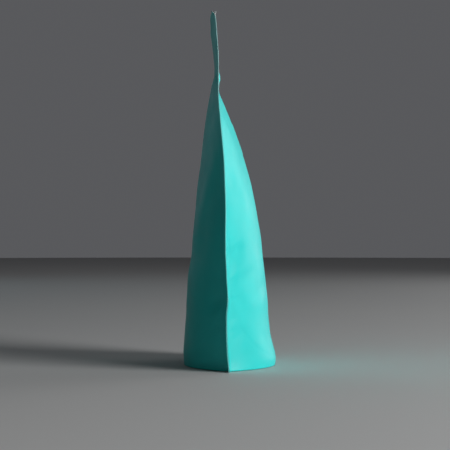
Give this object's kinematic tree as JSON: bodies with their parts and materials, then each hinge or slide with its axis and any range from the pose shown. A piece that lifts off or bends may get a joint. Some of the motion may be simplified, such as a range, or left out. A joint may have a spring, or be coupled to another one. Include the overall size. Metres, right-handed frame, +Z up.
{
  "type": "stand-up pouch",
  "caption": "Filled stand-up coffee pouch of matt laminate film with side seals, a bottom gusset, a zipper header that folds over and a one-way degassing valve.",
  "frame": {"origin": "centre of the standing pouch's bounding box, on the surface it stands on", "axes": "+X across the pouch from side seal to side seal, -Y out of the front panel, +Z up"},
  "size_m": [0.11, 0.0462, 0.17],
  "materials": {
    "laminate": "satin",
    "zipper_plastic": "satin",
    "roasted_beans": "satin",
    "valve_plastic": "matte",
    "silicone": "matte",
    "filter_paper": "matte"
  },
  "bodies": {
    "pouch": {"front_panel": "laminate", "rear_panel": "laminate", "bottom_gusset": "laminate", "coffee_fill": "roasted_beans", "valve_base": "valve_plastic", "valve_cap": "valve_plastic", "valve_filter": "filter_paper"},
    "header": {"header_front": "laminate", "header_rear": "laminate", "zipper_hook_strip": "zipper_plastic", "zipper_socket_strip": "zipper_plastic"},
    "membrane": {"valve_membrane": "silicone"}
  },
  "joints": [
    {"name": "header_fold", "type": "hinge", "parent": "pouch", "child": "header", "pos_m": [0, 0.0059, 0.131], "axis": [1, 0, 0], "range_deg": [-90, 90]},
    {"name": "valve_lift", "type": "slide", "parent": "pouch", "child": "membrane", "axis": [0, -0.9336, 0.3584], "range_m": [0, 0.00035], "stiffness_N_per_m": 90}
  ]
}
